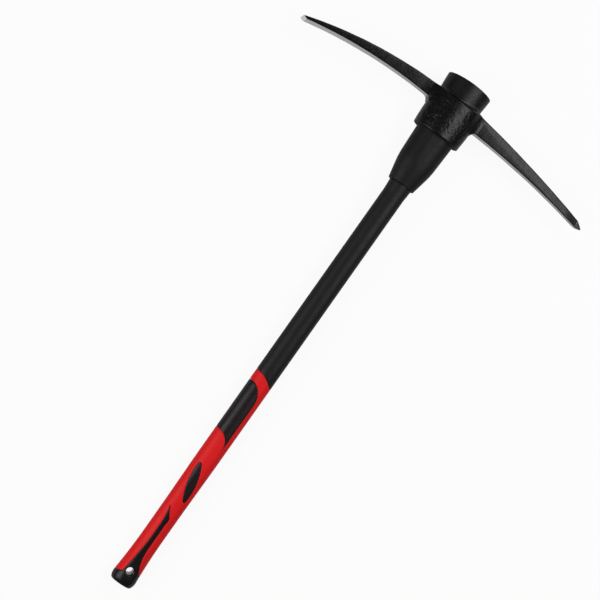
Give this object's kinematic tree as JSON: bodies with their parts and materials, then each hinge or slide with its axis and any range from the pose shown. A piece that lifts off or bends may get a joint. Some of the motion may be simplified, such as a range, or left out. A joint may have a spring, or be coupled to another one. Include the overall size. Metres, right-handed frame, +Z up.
{
  "type": "pick axe",
  "caption": "Pick axe with a forged head, chisel on one arm and point on the other, bonded to a moulded fibreglass handle with a red and black grip.",
  "frame": {"origin": "bottom centre of the part's box as the tool lies on its side: under the handle's axis, midway between the butt and the top of the eye", "axes": "+Y along the handle from the butt to the head, +X from the eye to the point, -X to the chisel, +Z up, square to the plane of the arms"},
  "size_m": [0.529, 0.9, 0.0637],
  "materials": {
    "head_paint": "semi-gloss black paint over forged steel, ground bare at the chisel edge and the point",
    "resin": "cast dark epoxy with a slightly domed, glossy top",
    "fibreglass": "sawn end of a pultruded glass-fibre rod",
    "shaft_plastic": "satin black moulded polypropylene",
    "sleeve_plastic": "satin black moulded plastic with a faint mould line",
    "grip_red": "satin red soft-touch elastomer",
    "grip_black": "matt dark elastomer let into the red skin",
    "cap_black": "satin black elastomer"
  },
  "bodies": {
    "root": {"pick_head": "head_paint", "eye_resin": "resin", "core_rod": "fibreglass", "shaft_jacket": "shaft_plastic", "neck_sleeve": "sleeve_plastic", "grip_sleeve": "grip_red", "shoulder_panel": "grip_black", "leaf_inlay_front": "grip_black", "leaf_inlay_back": "grip_black", "butt_cap": "cap_black"}
  },
  "joints": []
}
